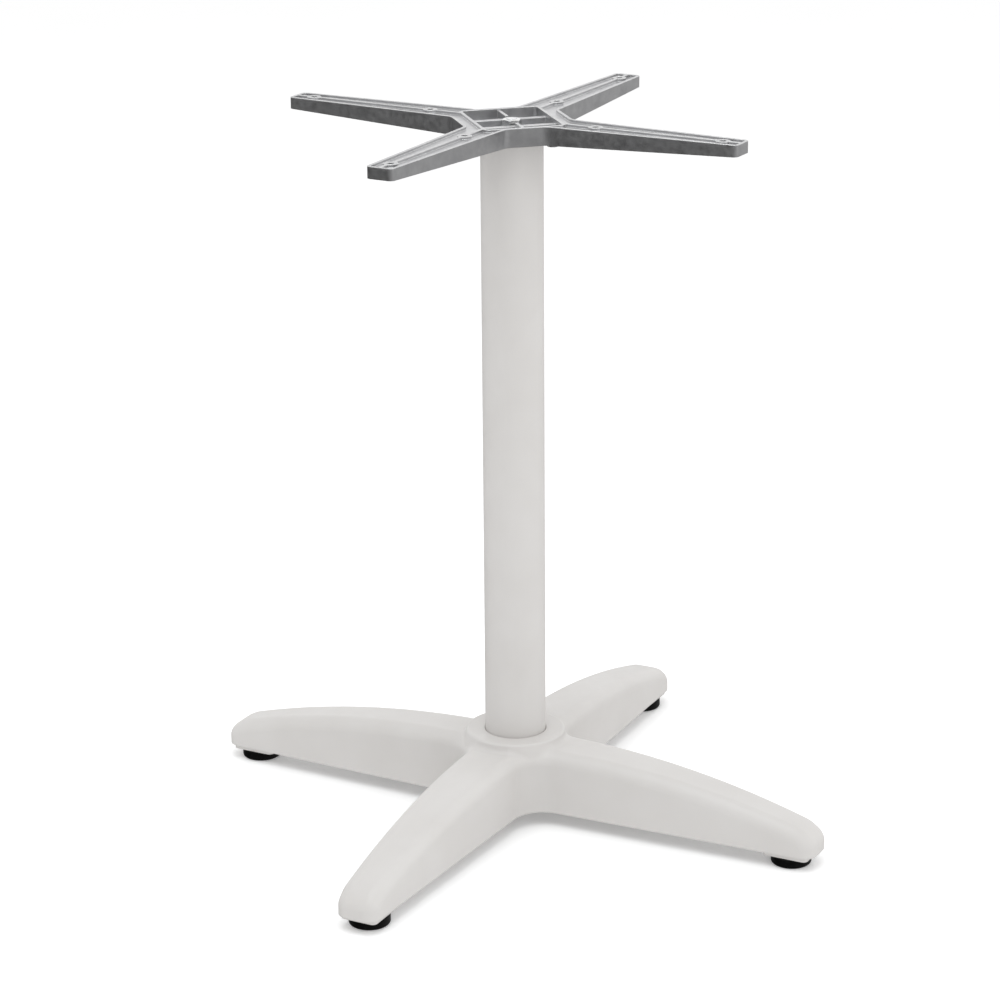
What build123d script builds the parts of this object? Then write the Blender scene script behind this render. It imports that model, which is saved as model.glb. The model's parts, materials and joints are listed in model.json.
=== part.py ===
"""Pedestal base for a dining table.

A hollow cast base stands on screw-in levelling glides and holds a round column.
A cast spider on the column carries the table top, and one tie rod down the column
draws the three together.

Millimetres, +Z up, origin on the floor under the column's axis.
"""
import os
from math import asin, degrees

from build123d import *

# Overall
overall_height = 720.0
leg_names = ("back_right", "back_left", "front_left", "front_right")
leg_count = len(leg_names)
first_leg_angle = 45.0

# Base casting, seen from above
leg_reach = 336.5
leg_root_width = 64.0
leg_tip_width = 44.0
leg_tip_corner = 14.0
crotch_radius = 32.0

# Base casting, seen from the side
leg_edge_height = 15.0
leg_crest_height = 79.0
leg_crest_start = 60.0
leg_nose_height = 44.0
leg_nose_length = 22.0
leg_nose_arc = 37.0
leg_shoulder_radius = 13.0
base_wall = 6.0
leg_rib_thickness = 4.0
leg_rib_rise = 8.0

# Collar and column socket of the base
collar_top_radius = 50.0
collar_rise = 9.0
collar_edge_radius = 3.0
collar_root_fillet = 7.0
collar_wall_inset = 0.3
socket_seat_height = 44.0
socket_floor = 8.0
socket_wall = 6.0
socket_mouth_chamfer = 1.0

# Column
column_diameter = 61.5
column_wall = 2.5
column_fit = 0.1

# Levelling glides and the feet they screw into
glide_inset = 30.5
pad_diameter = 40.4
pad_height = 10.0
pad_tread_radius = 3.0
pad_rim_chamfer = 0.8
glide_seat_gap = 0.3
stud_diameter = 8.0
stud_reach = 20.0
stud_embed = 6.0
stud_point = 1.0
stud_fit = 0.05
stud_bore_spare = 4.0
pad_bore_fit = 0.02
foot_length = 47.0
foot_width = 38.0
foot_corner = 5.0

# Tie rod, nuts and washers
rod_diameter = 10.0
rod_hole_clearance = 0.5
rod_top_spare = 0.4
rod_bottom_spare = 3.0
rod_point = 1.0
nut_sides = 6
nut_across_flats = 17.0
nut_height = 8.0
nut_chamfer = 1.0
nut_chamfer_run = 2.0
nut_thread_fit = 0.05
washer_diameter = 24.0
washer_thickness = 2.0
washer_bore_clearance = 0.4

# Top spider, seen from above
spider_turn = -2.0
spider_reach = 246.0
arm_root_width = 46.0
arm_tip_width = 28.0
arm_tip_corner = 5.0
hub_half_width = 54.0
hub_half_depth = 50.0
hub_corner = 10.0

# Top spider, seen from the side
spider_depth = 18.2
arm_tip_depth = 11.4
arm_taper_start = 58.0
tray_depth = 2.6
rim_width = 2.8
arm_rib_width = 3.0
arm_plate = 3.6
arm_wall = 4.5
arm_hollow_start = 64.0

# Middle of the spider
pocket_half_width = 38.0
pocket_half_depth = 45.5
pocket_corner = 4.0
pocket_depth = 12.5
cross_bar_offset = 17.0
cross_bar_width = 7.0
cross_bar_drop = 4.5
centre_rib_width = 3.0
centre_rib_drop = 1.4
seat_diameter = 27.0
seat_height = 1.5
spigot_wall = 4.0
spigot_length = 14.0

# Screw holes and nubs of the spider
screw_hole_diameter = 6.5
screw_boss_diameter = 14.0
outer_hole_inset = 21.0
inner_hole_circle = 91.0
nub_circle = 45.0
nub_diameter = 11.0
nub_height = 5.0

# Heights and radii that follow from the sizes above
glide_circle = leg_reach - glide_inset
foot_start = glide_circle - foot_length / 2
foot_height = pad_height + glide_seat_gap
leg_arch_run = leg_reach - leg_nose_length - leg_crest_start
leg_arch_fall = leg_crest_height - leg_nose_height
leg_arch_radius = (leg_arch_run**2 + leg_arch_fall**2) / (2 * leg_arch_fall)
leg_arch_sweep = degrees(asin(leg_arch_run / leg_arch_radius))
collar_height = leg_crest_height + collar_rise
collar_root_height = leg_crest_height - leg_shoulder_radius
column_radius = column_diameter / 2
column_bore_radius = column_radius - column_wall
column_top = overall_height - spider_depth
socket_radius = column_radius + column_fit
socket_outer_radius = socket_radius + socket_wall
socket_underside = socket_seat_height - socket_floor
rod_radius = rod_diameter / 2
rod_hole_radius = rod_radius + rod_hole_clearance
nut_face_radius = nut_across_flats / 2
pocket_floor = overall_height - pocket_depth
top_washer_base = pocket_floor + seat_height
top_nut_base = top_washer_base + washer_thickness
bottom_washer_base = socket_underside - washer_thickness
bottom_nut_base = bottom_washer_base - nut_height
rod_top = top_nut_base + nut_height + rod_top_spare
rod_bottom = bottom_nut_base - rod_bottom_spare
outer_hole_circle = spider_reach - outer_hole_inset
screw_boss_radius = screw_boss_diameter / 2
right_angle = 90.0
match_tolerance = 0.01

spider_plane = Plane.XY.offset(overall_height).rotated((0, 0, spider_turn))

os.makedirs("parts", exist_ok=True)


def save(piece, name):
    """Label a finished piece and write it as one file named after it."""
    piece.label = name
    export_step(piece, f"parts/{name}.step")


def tapered_bar(length, root_width, tip_width, start=0.0, inset=0.0):
    """A bar along +X whose width changes evenly, cut at start and narrowed by inset a side."""
    slope = (tip_width - root_width) / length
    near = (root_width + slope * start) / 2 - inset
    far = tip_width / 2 - inset
    Polygon((start, -near), (length, -far), (length, far), (start, near), align=None)


def crest_section(sink):
    """Half section under the legs' arched top, sunk below it by the given depth.

    The arch falls from the hub to the nose, and a tighter arc turns the nose down past the tip.
    """
    top = leg_crest_height - sink
    with BuildSketch(Plane.XZ) as section:
        with BuildLine():
            hub = Line((0, top), (leg_crest_start, top))
            fall = JernArc(hub @ 1, (1, 0), leg_arch_radius - sink, -leg_arch_sweep)
            nose = JernArc(fall @ 1, fall % 1, leg_nose_arc - sink, leg_arch_sweep - right_angle)
            Polyline(nose @ 1, ((nose @ 1).X, 0), (0, 0), hub @ 0)
        make_face()
    return section.sketch


# Outline of the base from above: tapered legs with arcs between them
with BuildSketch(Plane.XY.offset(leg_edge_height)) as base_plan:
    with PolarLocations(0, leg_count, start_angle=first_leg_angle):
        tapered_bar(leg_reach, leg_root_width, leg_tip_width)
    fillet(base_plan.vertices().sort_by_distance((0, 0))[:leg_count], crotch_radius)
    fillet(base_plan.vertices().sort_by_distance((0, 0))[-2 * leg_count:], leg_tip_corner)

# The collar flares down to the walls between the legs
crotch_reach = base_plan.sketch.wire().distance_to(Vertex(0, 0, leg_edge_height))
collar_root_radius = crotch_reach - collar_wall_inset

# Core of the casting: the hollow under the legs, less what stays solid in it
with BuildPart() as casting_core:
    with BuildSketch(Plane.XY.offset(leg_edge_height)):
        add(offset(base_plan.sketch_local, amount=-base_wall, mode=Mode.PRIVATE))
    extrude(amount=leg_crest_height)
    revolve(crest_section(base_wall), axis=Axis.Z, mode=Mode.INTERSECT)
    with BuildSketch(Plane.XY.offset(socket_underside)):
        Circle(socket_outer_radius)
    extrude(amount=leg_crest_height, mode=Mode.SUBTRACT)
    with BuildSketch(Plane.XY.offset(leg_edge_height + leg_rib_rise)):
        with PolarLocations(0, leg_count, start_angle=first_leg_angle):
            with Locations((socket_radius, 0)):
                Rectangle(glide_circle - socket_radius, leg_rib_thickness, align=(Align.MIN, Align.CENTER))
    extrude(amount=leg_crest_height, mode=Mode.SUBTRACT)
    with BuildSketch(Plane.XY.offset(leg_edge_height)):
        Circle(foot_start)
    extrude(amount=leg_crest_height, mode=Mode.INTERSECT)

# Base casting
with BuildPart() as base_casting:
    extrude(base_plan.sketch, amount=leg_crest_height)
    revolve(crest_section(0), axis=Axis.Z, mode=Mode.INTERSECT)
    walls = base_casting.faces().filter_by(lambda face: abs(face.normal_at().Z) < match_tolerance)
    above_edge = leg_edge_height + match_tolerance
    shoulders = walls.edges().filter_by(lambda edge: edge.bounding_box().min.Z > above_edge)
    fillet(shoulders, leg_shoulder_radius)
    with BuildSketch(Plane.XZ):
        with BuildLine():
            Polyline(
                (0, collar_root_height),
                (collar_root_radius, collar_root_height),
                (collar_top_radius, collar_height),
                (0, collar_height),
                close=True,
            )
        make_face()
    revolve(axis=Axis.Z)
    collar = base_casting.faces().filter_by(GeomType.CONE)
    fillet(collar.edges().group_by(Axis.Z)[-1], collar_edge_radius)
    collar = base_casting.faces().filter_by(GeomType.CONE)
    crest = leg_crest_height + match_tolerance
    fillet(collar.edges().filter_by(lambda edge: edge.center().Z < crest), collar_root_fillet)
    add(casting_core.part, mode=Mode.SUBTRACT)
    with BuildSketch(Plane.XY.offset(foot_height)):
        with PolarLocations(glide_circle, leg_count, start_angle=first_leg_angle):
            RectangleRounded(foot_length, foot_width, foot_corner)
    extrude(amount=leg_edge_height + base_wall - foot_height)
    with BuildSketch(Plane.XY.offset(socket_seat_height)):
        Circle(socket_radius)
    extrude(amount=overall_height, mode=Mode.SUBTRACT)
    mouth = base_casting.edges().filter_by(GeomType.CIRCLE).group_by(Axis.Z)[-1].sort_by(SortBy.RADIUS)[0]
    chamfer(mouth, socket_mouth_chamfer)
    with BuildSketch(Plane.XY):
        Circle(rod_hole_radius)
    extrude(amount=socket_seat_height, mode=Mode.SUBTRACT)
    with BuildSketch(Plane.XY.offset(foot_height)):
        with PolarLocations(glide_circle, leg_count, start_angle=first_leg_angle):
            Circle(stud_diameter / 2 + stud_fit)
    extrude(amount=stud_reach + stud_bore_spare, mode=Mode.SUBTRACT)
save(base_casting.part, "base_casting")

# Column tube, standing on the socket's seat
with BuildPart() as column_tube:
    with BuildSketch(Plane.XY.offset(socket_seat_height)):
        Circle(column_radius)
        Circle(column_bore_radius, mode=Mode.SUBTRACT)
    extrude(amount=column_top - socket_seat_height)
save(column_tube.part, "column_tube")

# Outline of the spider from above: tapered arms, webs at the sides, flat walls front and back
with BuildSketch(spider_plane) as spider_plan:
    with PolarLocations(0, leg_count, start_angle=first_leg_angle):
        tapered_bar(spider_reach, arm_root_width, arm_tip_width)
    Rectangle(2 * hub_half_width, 2 * hub_half_depth)
    fillet(spider_plan.vertices().sort_by_distance((0, 0))[: 2 * leg_count], hub_corner)
    fillet(spider_plan.vertices().sort_by_distance((0, 0))[-2 * leg_count:], arm_tip_corner)

# Top spider
with BuildPart() as top_spider:
    extrude(spider_plan.sketch, amount=-spider_depth)
    with BuildSketch(Plane.XZ):
        rise = (spider_depth - arm_tip_depth) / (spider_reach - arm_taper_start)
        past_tip = spider_reach + arm_tip_width
        with BuildLine():
            Polyline(
                (0, column_top),
                (arm_taper_start, column_top),
                (past_tip, column_top + rise * (past_tip - arm_taper_start)),
                (past_tip, overall_height),
                (0, overall_height),
                close=True,
            )
        make_face()
    revolve(axis=Axis.Z, mode=Mode.INTERSECT)

    # Hollow under each arm, round the inner screw bosses
    with BuildSketch(spider_plane.offset(-spider_depth)):
        with PolarLocations(0, leg_count, start_angle=first_leg_angle):
            hollow_end = outer_hole_circle - screw_boss_radius
            width_there = arm_root_width + (arm_tip_width - arm_root_width) * hollow_end / spider_reach
            tapered_bar(hollow_end, arm_root_width, width_there, arm_hollow_start, arm_wall)
        with PolarLocations(inner_hole_circle, leg_count, start_angle=first_leg_angle):
            Circle(screw_boss_radius, mode=Mode.SUBTRACT)
    extrude(amount=spider_depth - tray_depth - arm_plate, mode=Mode.SUBTRACT)

    # Shallow tray on top, inside the rims and round the ribs and bosses
    with BuildSketch(spider_plane):
        add(offset(spider_plan.sketch_local, amount=-rim_width, mode=Mode.PRIVATE))
        RectangleRounded(
            2 * (pocket_half_width + rim_width),
            2 * (pocket_half_depth + rim_width),
            pocket_corner + rim_width,
            mode=Mode.SUBTRACT,
        )
        with PolarLocations(0, leg_count, start_angle=first_leg_angle):
            Rectangle(spider_reach, arm_rib_width, align=(Align.MIN, Align.CENTER), mode=Mode.SUBTRACT)
        with PolarLocations(outer_hole_circle, leg_count, start_angle=first_leg_angle):
            Circle(screw_boss_radius, mode=Mode.SUBTRACT)
        with PolarLocations(inner_hole_circle, leg_count, start_angle=first_leg_angle):
            Circle(screw_boss_radius, mode=Mode.SUBTRACT)
    extrude(amount=-tray_depth, mode=Mode.SUBTRACT)

    # Deep pocket in the middle, with its bars, ribs and the nut's seat
    with BuildSketch(spider_plane):
        RectangleRounded(2 * pocket_half_width, 2 * pocket_half_depth, pocket_corner)
    extrude(amount=-pocket_depth, mode=Mode.SUBTRACT)
    with BuildSketch(spider_plane.offset(-pocket_depth)):
        with GridLocations(0, 2 * cross_bar_offset, 1, 2):
            Rectangle(2 * pocket_half_width, cross_bar_width)
    extrude(amount=pocket_depth - cross_bar_drop)
    with BuildSketch(spider_plane.offset(-pocket_depth)):
        Rectangle(centre_rib_width, 2 * pocket_half_depth)
        Rectangle(centre_rib_width, 2 * cross_bar_offset, mode=Mode.SUBTRACT)
    extrude(amount=pocket_depth - centre_rib_drop)
    with BuildSketch(spider_plane.offset(-pocket_depth)):
        Circle(seat_diameter / 2)
    extrude(amount=seat_height)

    # Underside: spigot into the column, and round nubs at the arms' roots
    with BuildSketch(spider_plane.offset(-spider_depth)):
        Circle(column_bore_radius - column_fit)
        Circle(column_bore_radius - column_fit - spigot_wall, mode=Mode.SUBTRACT)
    extrude(amount=-spigot_length)
    with BuildSketch(spider_plane.offset(-spider_depth)):
        with PolarLocations(nub_circle, leg_count, start_angle=first_leg_angle):
            Circle(nub_diameter / 2)
    extrude(amount=-nub_height)

    # Holes for the table top's screws and for the tie rod
    with BuildSketch(spider_plane):
        with PolarLocations(outer_hole_circle, leg_count, start_angle=first_leg_angle):
            Circle(screw_hole_diameter / 2)
        with PolarLocations(inner_hole_circle, leg_count, start_angle=first_leg_angle):
            Circle(screw_hole_diameter / 2)
        Circle(rod_hole_radius)
    extrude(amount=-spider_depth, mode=Mode.SUBTRACT)
save(top_spider.part, "top_spider")

# Tie rod
with BuildPart() as tie_rod:
    with BuildSketch(Plane.XY.offset(rod_bottom)):
        Circle(rod_radius)
    extrude(amount=rod_top - rod_bottom)
    chamfer(tie_rod.edges().filter_by(GeomType.CIRCLE), rod_point)
save(tie_rod.part, "tie_rod")

# Washers on the tie rod
for name, base in (("top_washer", top_washer_base), ("bottom_washer", bottom_washer_base)):
    with BuildPart() as washer:
        with BuildSketch(Plane.XY.offset(base)):
            Circle(washer_diameter / 2)
            Circle(rod_radius + washer_bore_clearance, mode=Mode.SUBTRACT)
        extrude(amount=washer_thickness)
    save(washer.part, name)

# Hexagon nuts on the tie rod, with their corners turned off at both ends
for name, base in (("top_nut", top_nut_base), ("bottom_nut", bottom_nut_base)):
    with BuildPart() as nut:
        with BuildSketch(Plane.XY.offset(base)):
            RegularPolygon(nut_face_radius, nut_sides, major_radius=False)
        extrude(amount=nut_height)
        with BuildSketch(Plane.XZ):
            with BuildLine():
                Polyline(
                    (0, base),
                    (nut_face_radius, base),
                    (nut_face_radius + nut_chamfer_run, base + nut_chamfer),
                    (nut_face_radius + nut_chamfer_run, base + nut_height - nut_chamfer),
                    (nut_face_radius, base + nut_height),
                    (0, base + nut_height),
                    close=True,
                )
            make_face()
        revolve(axis=Axis.Z, mode=Mode.INTERSECT)
        with BuildSketch(Plane.XY.offset(base)):
            Circle(rod_radius + nut_thread_fit)
        extrude(amount=nut_height, mode=Mode.SUBTRACT)
    save(nut.part, name)

# Levelling glides: a pad moulded round the foot of a threaded stud
for index, leg in enumerate(leg_names):
    centre = Vector(glide_circle, 0).rotate(Axis.Z, first_leg_angle + index * 360 / leg_count)
    floor_plane = Plane(origin=(centre.X, centre.Y, 0))
    with BuildPart() as glide_pad:
        with BuildSketch(floor_plane):
            Circle(pad_diameter / 2)
        extrude(amount=pad_height)
        fillet(glide_pad.edges().group_by(Axis.Z)[0], pad_tread_radius)
        chamfer(glide_pad.edges().group_by(Axis.Z)[-1], pad_rim_chamfer)
        with BuildSketch(floor_plane.offset(pad_height)):
            Circle(stud_diameter / 2 + pad_bore_fit)
        extrude(amount=-stud_embed, mode=Mode.SUBTRACT)
    save(glide_pad.part, f"glide_pad_{leg}")

    with BuildPart() as glide_stud:
        with BuildSketch(floor_plane.offset(pad_height - stud_embed)):
            Circle(stud_diameter / 2)
        extrude(amount=stud_embed + stud_reach)
        chamfer(glide_stud.edges().group_by(Axis.Z)[-1], stud_point)
    save(glide_stud.part, f"glide_stud_{leg}")
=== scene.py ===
"""Looks of a pedestal table base.

White coated casting and column, raw cast spider, zinc plated screws and moulded black glides,
on a plain pale floor under soft studio light. Metres, +Z up, in the frame of the solids.
"""
import json
from math import cos, floor as whole, pi, radians, sin

import bpy
from mathutils import Matrix, Vector


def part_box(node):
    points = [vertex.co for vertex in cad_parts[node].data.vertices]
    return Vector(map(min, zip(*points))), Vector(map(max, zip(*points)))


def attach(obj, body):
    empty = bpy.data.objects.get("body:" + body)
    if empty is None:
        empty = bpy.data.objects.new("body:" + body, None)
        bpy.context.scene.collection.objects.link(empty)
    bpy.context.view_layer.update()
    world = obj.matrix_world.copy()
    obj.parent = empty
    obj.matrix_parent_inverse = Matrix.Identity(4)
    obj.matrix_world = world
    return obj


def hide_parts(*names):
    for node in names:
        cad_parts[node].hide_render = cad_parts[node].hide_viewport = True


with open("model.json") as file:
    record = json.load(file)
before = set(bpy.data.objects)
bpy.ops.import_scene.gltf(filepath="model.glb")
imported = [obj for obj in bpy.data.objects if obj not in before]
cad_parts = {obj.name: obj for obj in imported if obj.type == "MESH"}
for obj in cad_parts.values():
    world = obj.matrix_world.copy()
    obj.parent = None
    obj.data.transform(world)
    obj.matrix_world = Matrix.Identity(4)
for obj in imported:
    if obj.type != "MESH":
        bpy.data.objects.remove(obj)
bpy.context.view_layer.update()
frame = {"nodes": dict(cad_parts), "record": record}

LEGS = ("back_right", "back_left", "front_left", "front_right")
MM = 0.001

# Camera, placed round the column's axis as the photograph shows the object, with angles in degrees
CAMERA_DISTANCE = 3.0909
CAMERA_HEIGHT = 1.3637
CAMERA_AZIMUTH = -17.749
CAMERA_TILT = 18.45
CAMERA_PAN = -0.2616
CAMERA_ROLL = -0.4496
CAMERA_FAR = 200.0
FOCAL_PIXELS = 3259.2
IMAGE_PIXELS = 1000
SENSOR_MM = 36.0

# Screw threads: pitch, form of the groove and how finely they are drawn
STUD_PITCH = 1.25 * MM
ROD_PITCH = 1.5 * MM
ROD_THREAD_LENGTH = 45 * MM
THREAD_DEPTH_PER_PITCH = 0.55
THREAD_CREST_SHARE = 0.14
THREAD_ROOT_SHARE = 0.18
THREAD_SIDES = 56
THREAD_ROWS_PER_PITCH = 10
SCREW_POINT = 1.0 * MM

# Colours, mostly in pairs that a surface drifts between
COAT_DEEP = (0.647, 0.627, 0.608)
COAT_PALE = (0.674, 0.656, 0.639)
SKIN_DEEP = (0.52, 0.52, 0.53)
SKIN_PALE = (0.64, 0.64, 0.645)
RUBBED_EDGE = (0.93, 0.93, 0.92)
ZINC_BLUE = (0.72, 0.73, 0.75)
ZINC_STRAW = (0.82, 0.82, 0.80)
PLASTIC_DEEP = (0.002, 0.002, 0.002)
PLASTIC_PALE = (0.004, 0.004, 0.004)
PAPER_DEEP = (0.955, 0.955, 0.955)
PAPER_PALE = (0.965, 0.965, 0.965)
WHITE_LIGHT = (1.0, 1.0, 1.0)
COOL_LIGHT = (0.96, 0.985, 1.0)

# Shaders: the span of most noise values, rays for a rounded edge, colour sockets of the Mix node
NOISE_LOW = 0.3
NOISE_HIGH = 0.7
EDGE_SAMPLES = 6
MIX_COLOUR_A = 6
MIX_COLOUR_B = 7
MIX_COLOUR_RESULT = 2

# Studio: half the floor's width, its glow, and the surround's levels by direction
FLOOR_HALF = 30.0
FLOOR_GLOW = 0.19
ROOM_STRENGTH = 0.81
BRIGHT_WALL_BEARING = 45
WALL_DIM = 0.80
WALL_BRIGHT = 1.36
CEILING = 0.95
BELOW_LEFT = 0.035
BELOW_RIGHT = 0.49


def put(tree, value, target):
    """Link a node's output to an input, or set the input to a plain value."""
    if isinstance(value, bpy.types.NodeSocket):
        tree.links.new(value, target)
    else:
        target.default_value = value


def fill(tree, node, **inputs):
    """Fill a node's inputs by name, with underscores for the spaces."""
    for name, value in inputs.items():
        put(tree, value, node.inputs[name.replace("_", " ")])


def add_node(tree, kind, **inputs):
    """Add a shader node and fill its inputs."""
    node = tree.nodes.new(kind)
    fill(tree, node, **inputs)
    return node


def add_object(name, data):
    """Put a new object in the scene."""
    thing = bpy.data.objects.new(name, data)
    bpy.context.scene.collection.objects.link(thing)
    return thing


def start_material(name):
    """A material with one principled shader, and the place on the object that its textures read."""
    material = bpy.data.materials.new(name)
    material.use_nodes = True
    tree = material.node_tree
    place = add_node(tree, "ShaderNodeTexCoord").outputs["Object"]
    return material, tree, tree.nodes["Principled BSDF"], place


def noise(tree, place, size, detail, roughness=0.5):
    """Noise whose blotches are about the given size in metres."""
    settings = {"Scale": 1 / size, "Detail": detail, "Roughness": roughness}
    return add_node(tree, "ShaderNodeTexNoise", Vector=place, **settings).outputs["Fac"]


def ramp(tree, value, low, high):
    """Spread a noise value between two colours."""
    node = add_node(tree, "ShaderNodeValToRGB", Fac=value)
    for element, at, colour in zip(node.color_ramp.elements, (NOISE_LOW, NOISE_HIGH), (low, high)):
        element.position = at
        element.color = (*colour, 1)
    return node.outputs["Color"]


def spread(tree, value, low, high, start=NOISE_LOW, end=NOISE_HIGH):
    """Spread the values from start to end between two numbers."""
    limits = {"From_Min": start, "From_Max": end, "To_Min": low, "To_Max": high}
    return add_node(tree, "ShaderNodeMapRange", Value=value, **limits).outputs["Result"]


def mix(tree, factor, below, above):
    """Mix two numbers by a factor."""
    return add_node(tree, "ShaderNodeMix", Factor=factor, A=below, B=above).outputs["Result"]


def mix_colour(tree, factor, below, above):
    """Mix a varying colour with an even one by a factor."""
    node = add_node(tree, "ShaderNodeMix", Factor=factor)
    node.data_type = "RGBA"
    put(tree, below, node.inputs[MIX_COLOUR_A])
    put(tree, (*above, 1), node.inputs[MIX_COLOUR_B])
    return node.outputs[MIX_COLOUR_RESULT]


def dot(tree, first, second):
    """Dot product of two directions."""
    node = add_node(tree, "ShaderNodeVectorMath")
    node.operation = "DOT_PRODUCT"
    put(tree, first, node.inputs[0])
    put(tree, second, node.inputs[1])
    return node.outputs["Value"]


def bump(tree, height, depth, strength, over):
    """Bump of the given depth in metres, laid over an earlier normal."""
    settings = {"Distance": depth, "Strength": strength, "Normal": over}
    return add_node(tree, "ShaderNodeBump", Height=height, **settings).outputs["Normal"]


def soft_edges(tree, radius):
    """Normal of edges that are broken by the given radius."""
    node = add_node(tree, "ShaderNodeBevel", Radius=radius)
    node.samples = EDGE_SAMPLES
    return node.outputs["Normal"]


def edge_mask(tree, rounded, start, end):
    """One on the edges, nought on the flats, from how far the broken edge's normal turns away."""
    plain = add_node(tree, "ShaderNodeNewGeometry").outputs["Normal"]
    return spread(tree, dot(tree, plain, rounded), low=1.0, high=0.0, start=start, end=end)


def powder_coat():
    """Fine satin powder coat: faint orange peel, small drift of tone, edges softly broken."""
    material, tree, shader, place = start_material("white_powder_coat")
    tone = noise(tree, place, size=60 * MM, detail=2.0)
    gloss = noise(tree, place, size=9 * MM, detail=4.0)
    peel = noise(tree, place, size=1.6 * MM, detail=2.0)
    rounded = soft_edges(tree, radius=1.2 * MM)
    fill(
        tree,
        shader,
        IOR=1.5,
        Base_Color=ramp(tree, tone, low=COAT_DEEP, high=COAT_PALE),
        Roughness=spread(tree, gloss, low=0.40, high=0.50),
        Normal=bump(tree, peel, depth=0.08 * MM, strength=0.6, over=rounded),
    )
    return material


def cast_aluminium():
    """Raw casting: grey mottled skin with a fine grain, rubbed bright along its edges."""
    material, tree, shader, place = start_material("raw_cast_aluminium")
    mottle = noise(tree, place, size=14 * MM, detail=5.0, roughness=0.6)
    gloss = noise(tree, place, size=5 * MM, detail=4.0)
    grain = noise(tree, place, size=1.1 * MM, detail=4.0, roughness=0.6)
    rounded = soft_edges(tree, radius=0.8 * MM)
    skin = ramp(tree, mottle, low=SKIN_DEEP, high=SKIN_PALE)
    worn = edge_mask(tree, rounded, start=0.80, end=0.97)
    fill(
        tree,
        shader,
        Metallic=1.0,
        Base_Color=mix_colour(tree, worn, skin, RUBBED_EDGE),
        Roughness=spread(tree, gloss, low=0.30, high=0.42),
        Normal=bump(tree, grain, depth=0.12 * MM, strength=0.45, over=rounded),
    )
    return material


def zinc_plate():
    """Bright zinc plate with a faint blue and straw drift."""
    material, tree, shader, place = start_material("zinc_plated_steel")
    drift = noise(tree, place, size=5 * MM, detail=3.0)
    gloss = noise(tree, place, size=1.5 * MM, detail=3.0)
    grain = noise(tree, place, size=0.5 * MM, detail=3.0)
    rounded = soft_edges(tree, radius=0.4 * MM)
    fill(
        tree,
        shader,
        Metallic=1.0,
        Base_Color=ramp(tree, drift, low=ZINC_BLUE, high=ZINC_STRAW),
        Roughness=spread(tree, gloss, low=0.16, high=0.30),
        Normal=bump(tree, grain, depth=0.02 * MM, strength=0.4, over=rounded),
    )
    return material


def moulded_plastic():
    """Black moulded plastic with a fine spark-eroded skin."""
    material, tree, shader, place = start_material("black_moulded_plastic")
    tone = noise(tree, place, size=8 * MM, detail=3.0)
    gloss = noise(tree, place, size=3 * MM, detail=3.0)
    grain = noise(tree, place, size=0.6 * MM, detail=2.0)
    rounded = soft_edges(tree, radius=0.5 * MM)
    fill(
        tree,
        shader,
        Specular_IOR_Level=0.15,
        Base_Color=ramp(tree, tone, low=PLASTIC_DEEP, high=PLASTIC_PALE),
        Roughness=spread(tree, gloss, low=0.34, high=0.46),
        Normal=bump(tree, grain, depth=0.04 * MM, strength=0.4, over=rounded),
    )
    return material


def floor_paper():
    """Plain white studio paper, with a little glow that keeps it white round the object."""
    material, tree, shader, place = start_material("studio_paper")
    tone = noise(tree, place, size=0.5, detail=2.0)
    fill(
        tree,
        shader,
        Base_Color=ramp(tree, tone, low=PAPER_DEEP, high=PAPER_PALE),
        Roughness=0.9,
        Emission_Color=(*WHITE_LIGHT, 1),
        Emission_Strength=FLOOR_GLOW,
    )
    return material


def finish_node(name, material):
    """Give a solid its finish."""
    for slot in frame["nodes"][name].material_slots:
        slot.material = material


def thread_depth(turns, pitch):
    """Depth of a thread's groove at a height in turns: flat crest, flank, flat root, flank."""
    at = turns - whole(turns)
    flank = (1 - THREAD_CREST_SHARE - THREAD_ROOT_SHARE) / 2
    fall = min(max((at - THREAD_CREST_SHARE) / flank, 0), 1)
    climb = min(max((at - THREAD_CREST_SHARE - flank - THREAD_ROOT_SHARE) / flank, 0), 1)
    return THREAD_DEPTH_PER_PITCH * pitch * (fall - climb)


def screw_mesh(name, centre, radius, low, high, pitch, stretches, points):
    """Mesh of a round bar along Z, with a thread on some stretches and points on some ends."""
    step = pitch / THREAD_ROWS_PER_PITCH
    heights = {low, high}
    for start, end in stretches:
        rows = max(2, round((end - start) / step))
        heights.update(start + (end - start) * row / rows for row in range(rows + 1))
    heights = sorted(heights)
    verts = []
    for z in heights:
        threaded = any(start <= z <= end for start, end in stretches)
        limit = radius
        for tip in points:
            limit = min(limit, radius - SCREW_POINT + abs(z - tip))
        for side in range(THREAD_SIDES):
            turn = side / THREAD_SIDES
            groove = thread_depth(z / pitch - turn, pitch) if threaded else 0
            r = min(radius - groove, limit)
            verts.append((centre.x + r * cos(2 * pi * turn), centre.y + r * sin(2 * pi * turn), z))
    faces = []
    for row in range(len(heights) - 1):
        for side in range(THREAD_SIDES):
            a = row * THREAD_SIDES + side
            b = row * THREAD_SIDES + (side + 1) % THREAD_SIDES
            faces.append((a, b, b + THREAD_SIDES, a + THREAD_SIDES))
    faces.append(tuple(reversed(range(THREAD_SIDES))))
    faces.append(tuple(range(len(verts) - THREAD_SIDES, len(verts))))
    mesh = bpy.data.meshes.new(name)
    mesh.from_pydata(verts, [], faces)
    mesh.polygons.foreach_set("use_smooth", [len(face) == 4 for face in faces])
    return mesh


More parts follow.
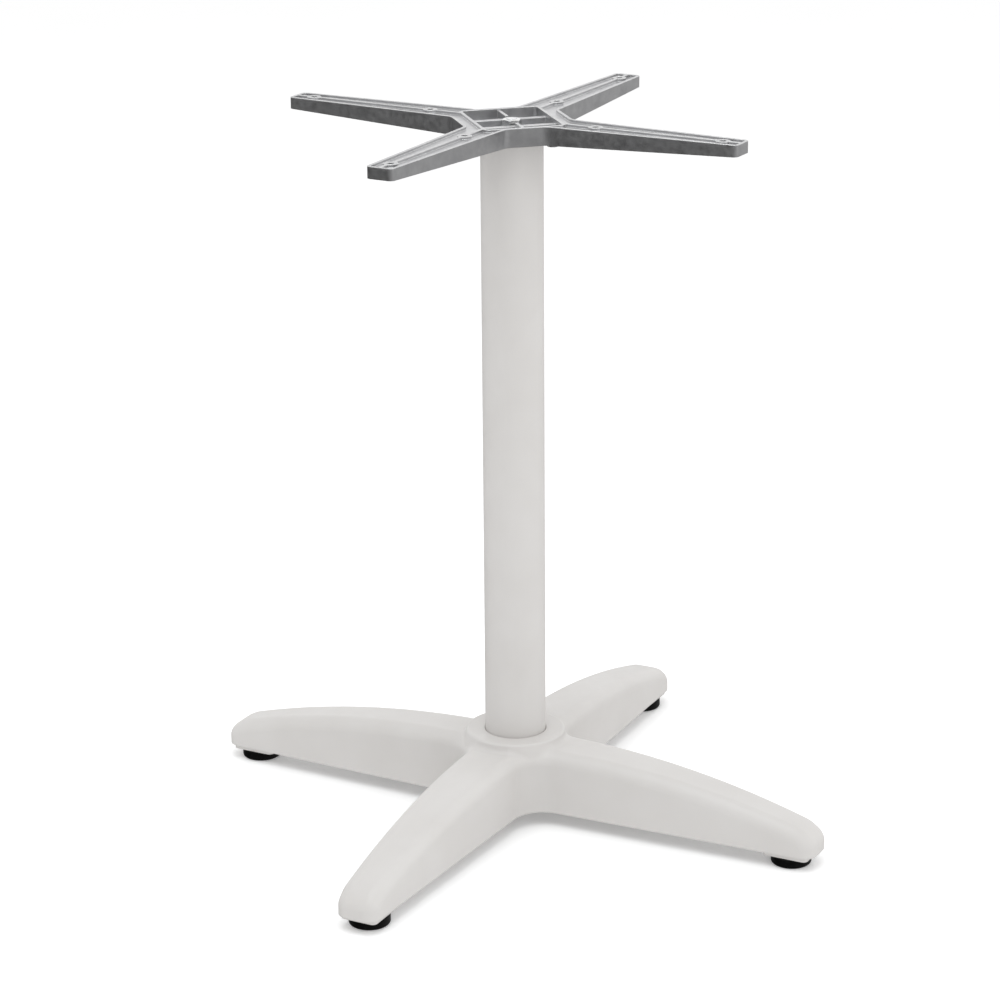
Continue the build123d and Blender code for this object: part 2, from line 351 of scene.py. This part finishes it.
def threaded_piece(node, body, material, pitch, thread_at, pointed_at):
    """Stand a threaded bar in for a plain solid, from the solid's own box."""
    low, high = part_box(node)
    centre = (low + high) / 2
    radius = (high.x - low.x) / 2
    stretches = thread_at(low.z, high.z)
    points = pointed_at(low.z, high.z)
    name = node + "_threaded"
    mesh = screw_mesh(name, centre, radius, low.z, high.z, pitch, stretches, points)
    mesh.materials.append(material)
    piece = add_object(name, mesh)
    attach(piece, body)
    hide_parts(node)


def build_camera():
    """Camera at the photograph's viewpoint."""
    around = radians(CAMERA_AZIMUTH)
    heading = radians(CAMERA_AZIMUTH - CAMERA_PAN)
    tilt = radians(CAMERA_TILT)
    roll = radians(CAMERA_ROLL)
    spot = Vector((sin(around) * CAMERA_DISTANCE, -cos(around) * CAMERA_DISTANCE, CAMERA_HEIGHT))
    ahead = Vector((-sin(heading) * cos(tilt), cos(heading) * cos(tilt), -sin(tilt)))
    level = ahead.cross(Vector((0, 0, 1))).normalized()
    upright = level.cross(ahead)
    right = level * cos(roll) + upright * sin(roll)
    up = upright * cos(roll) - level * sin(roll)
    data = bpy.data.cameras.new("camera")
    data.sensor_width = SENSOR_MM
    data.lens = SENSOR_MM * FOCAL_PIXELS / IMAGE_PIXELS
    data.clip_end = CAMERA_FAR
    camera = add_object("camera", data)
    turn = Matrix((right, up, -ahead)).transposed()
    camera.matrix_world = Matrix.Translation(spot) @ turn.to_4x4()
    bpy.context.scene.camera = camera


def soft_light(name, spot, aim, size, power, colour):
    """A square soft box that faces a point."""
    data = bpy.data.lights.new(name, "AREA")
    data.size = size
    data.energy = power
    data.color = colour
    light = add_object(name, data)
    light.location = spot
    light.rotation_euler = (Vector(aim) - Vector(spot)).to_track_quat("-Z", "Y").to_euler()


def build_room_light():
    """Studio surround: walls brightest behind on the right, darkest below on the left."""
    world = bpy.data.worlds.new("studio")
    bpy.context.scene.world = world
    world.use_nodes = True
    tree = world.node_tree
    way = add_node(tree, "ShaderNodeTexCoord").outputs["Generated"]
    split = add_node(tree, "ShaderNodeSeparateXYZ", Vector=way).outputs
    bearing = radians(BRIGHT_WALL_BEARING)
    to_bright_wall = dot(tree, way, (sin(bearing), cos(bearing), 0))
    walls = spread(tree, to_bright_wall, low=WALL_DIM, high=WALL_BRIGHT, start=-0.6, end=0.8)
    below = spread(tree, split["X"], low=BELOW_LEFT, high=BELOW_RIGHT, start=-0.84, end=0.9)
    over_horizon = spread(tree, split["Z"], low=0.0, high=1.0, start=-0.09, end=0.0)
    overhead = spread(tree, split["Z"], low=0.0, high=1.0, start=0.35, end=0.85)
    room = mix(tree, overhead, mix(tree, over_horizon, below, walls), CEILING)
    fill(tree, tree.nodes["Background"], Color=room, Strength=ROOM_STRENGTH)


def build_floor(material):
    """Plain pale floor, left out of the reflections."""
    corners = [(x * FLOOR_HALF, y * FLOOR_HALF, 0) for x, y in ((-1, -1), (1, -1), (1, 1), (-1, 1))]
    mesh = bpy.data.meshes.new("floor")
    mesh.from_pydata(corners, [], [(0, 1, 2, 3)])
    mesh.materials.append(material)
    floor = add_object("floor", mesh)
    floor.visible_glossy = False


# Finishes of the solids, by the record's material slots
finishes = {
    "white_coat": powder_coat(),
    "cast_aluminium": cast_aluminium(),
    "zinc_steel": zinc_plate(),
    "black_plastic": moulded_plastic(),
}
for subpart in frame["record"]["subparts"]:
    finish_node(subpart["node"], finishes[subpart["material_slot"]])

# Threads of the tie rod and the glide studs
threaded_piece(
    "tie_rod",
    "stand",
    finishes["zinc_steel"],
    pitch=ROD_PITCH,
    thread_at=lambda low, high: [(low, low + ROD_THREAD_LENGTH), (high - ROD_THREAD_LENGTH, high)],
    pointed_at=lambda low, high: [low, high],
)
for leg in LEGS:
    threaded_piece(
        f"glide_stud_{leg}",
        f"glide_{leg}",
        finishes["zinc_steel"],
        pitch=STUD_PITCH,
        thread_at=lambda low, high: [(low, high)],
        pointed_at=lambda low, high: [high],
    )

# Studio
build_floor(floor_paper())
build_room_light()
soft_light("key", spot=(2.4, -2.4, 2.2), aim=(0, 0, 0.4), size=2.2, power=10, colour=WHITE_LIGHT)
soft_light("top", spot=(-0.5, -0.6, 3.2), aim=(0, 0, 0.1), size=2.4, power=36, colour=COOL_LIGHT)
build_camera()
bpy.context.scene.view_settings.view_transform = "Standard"
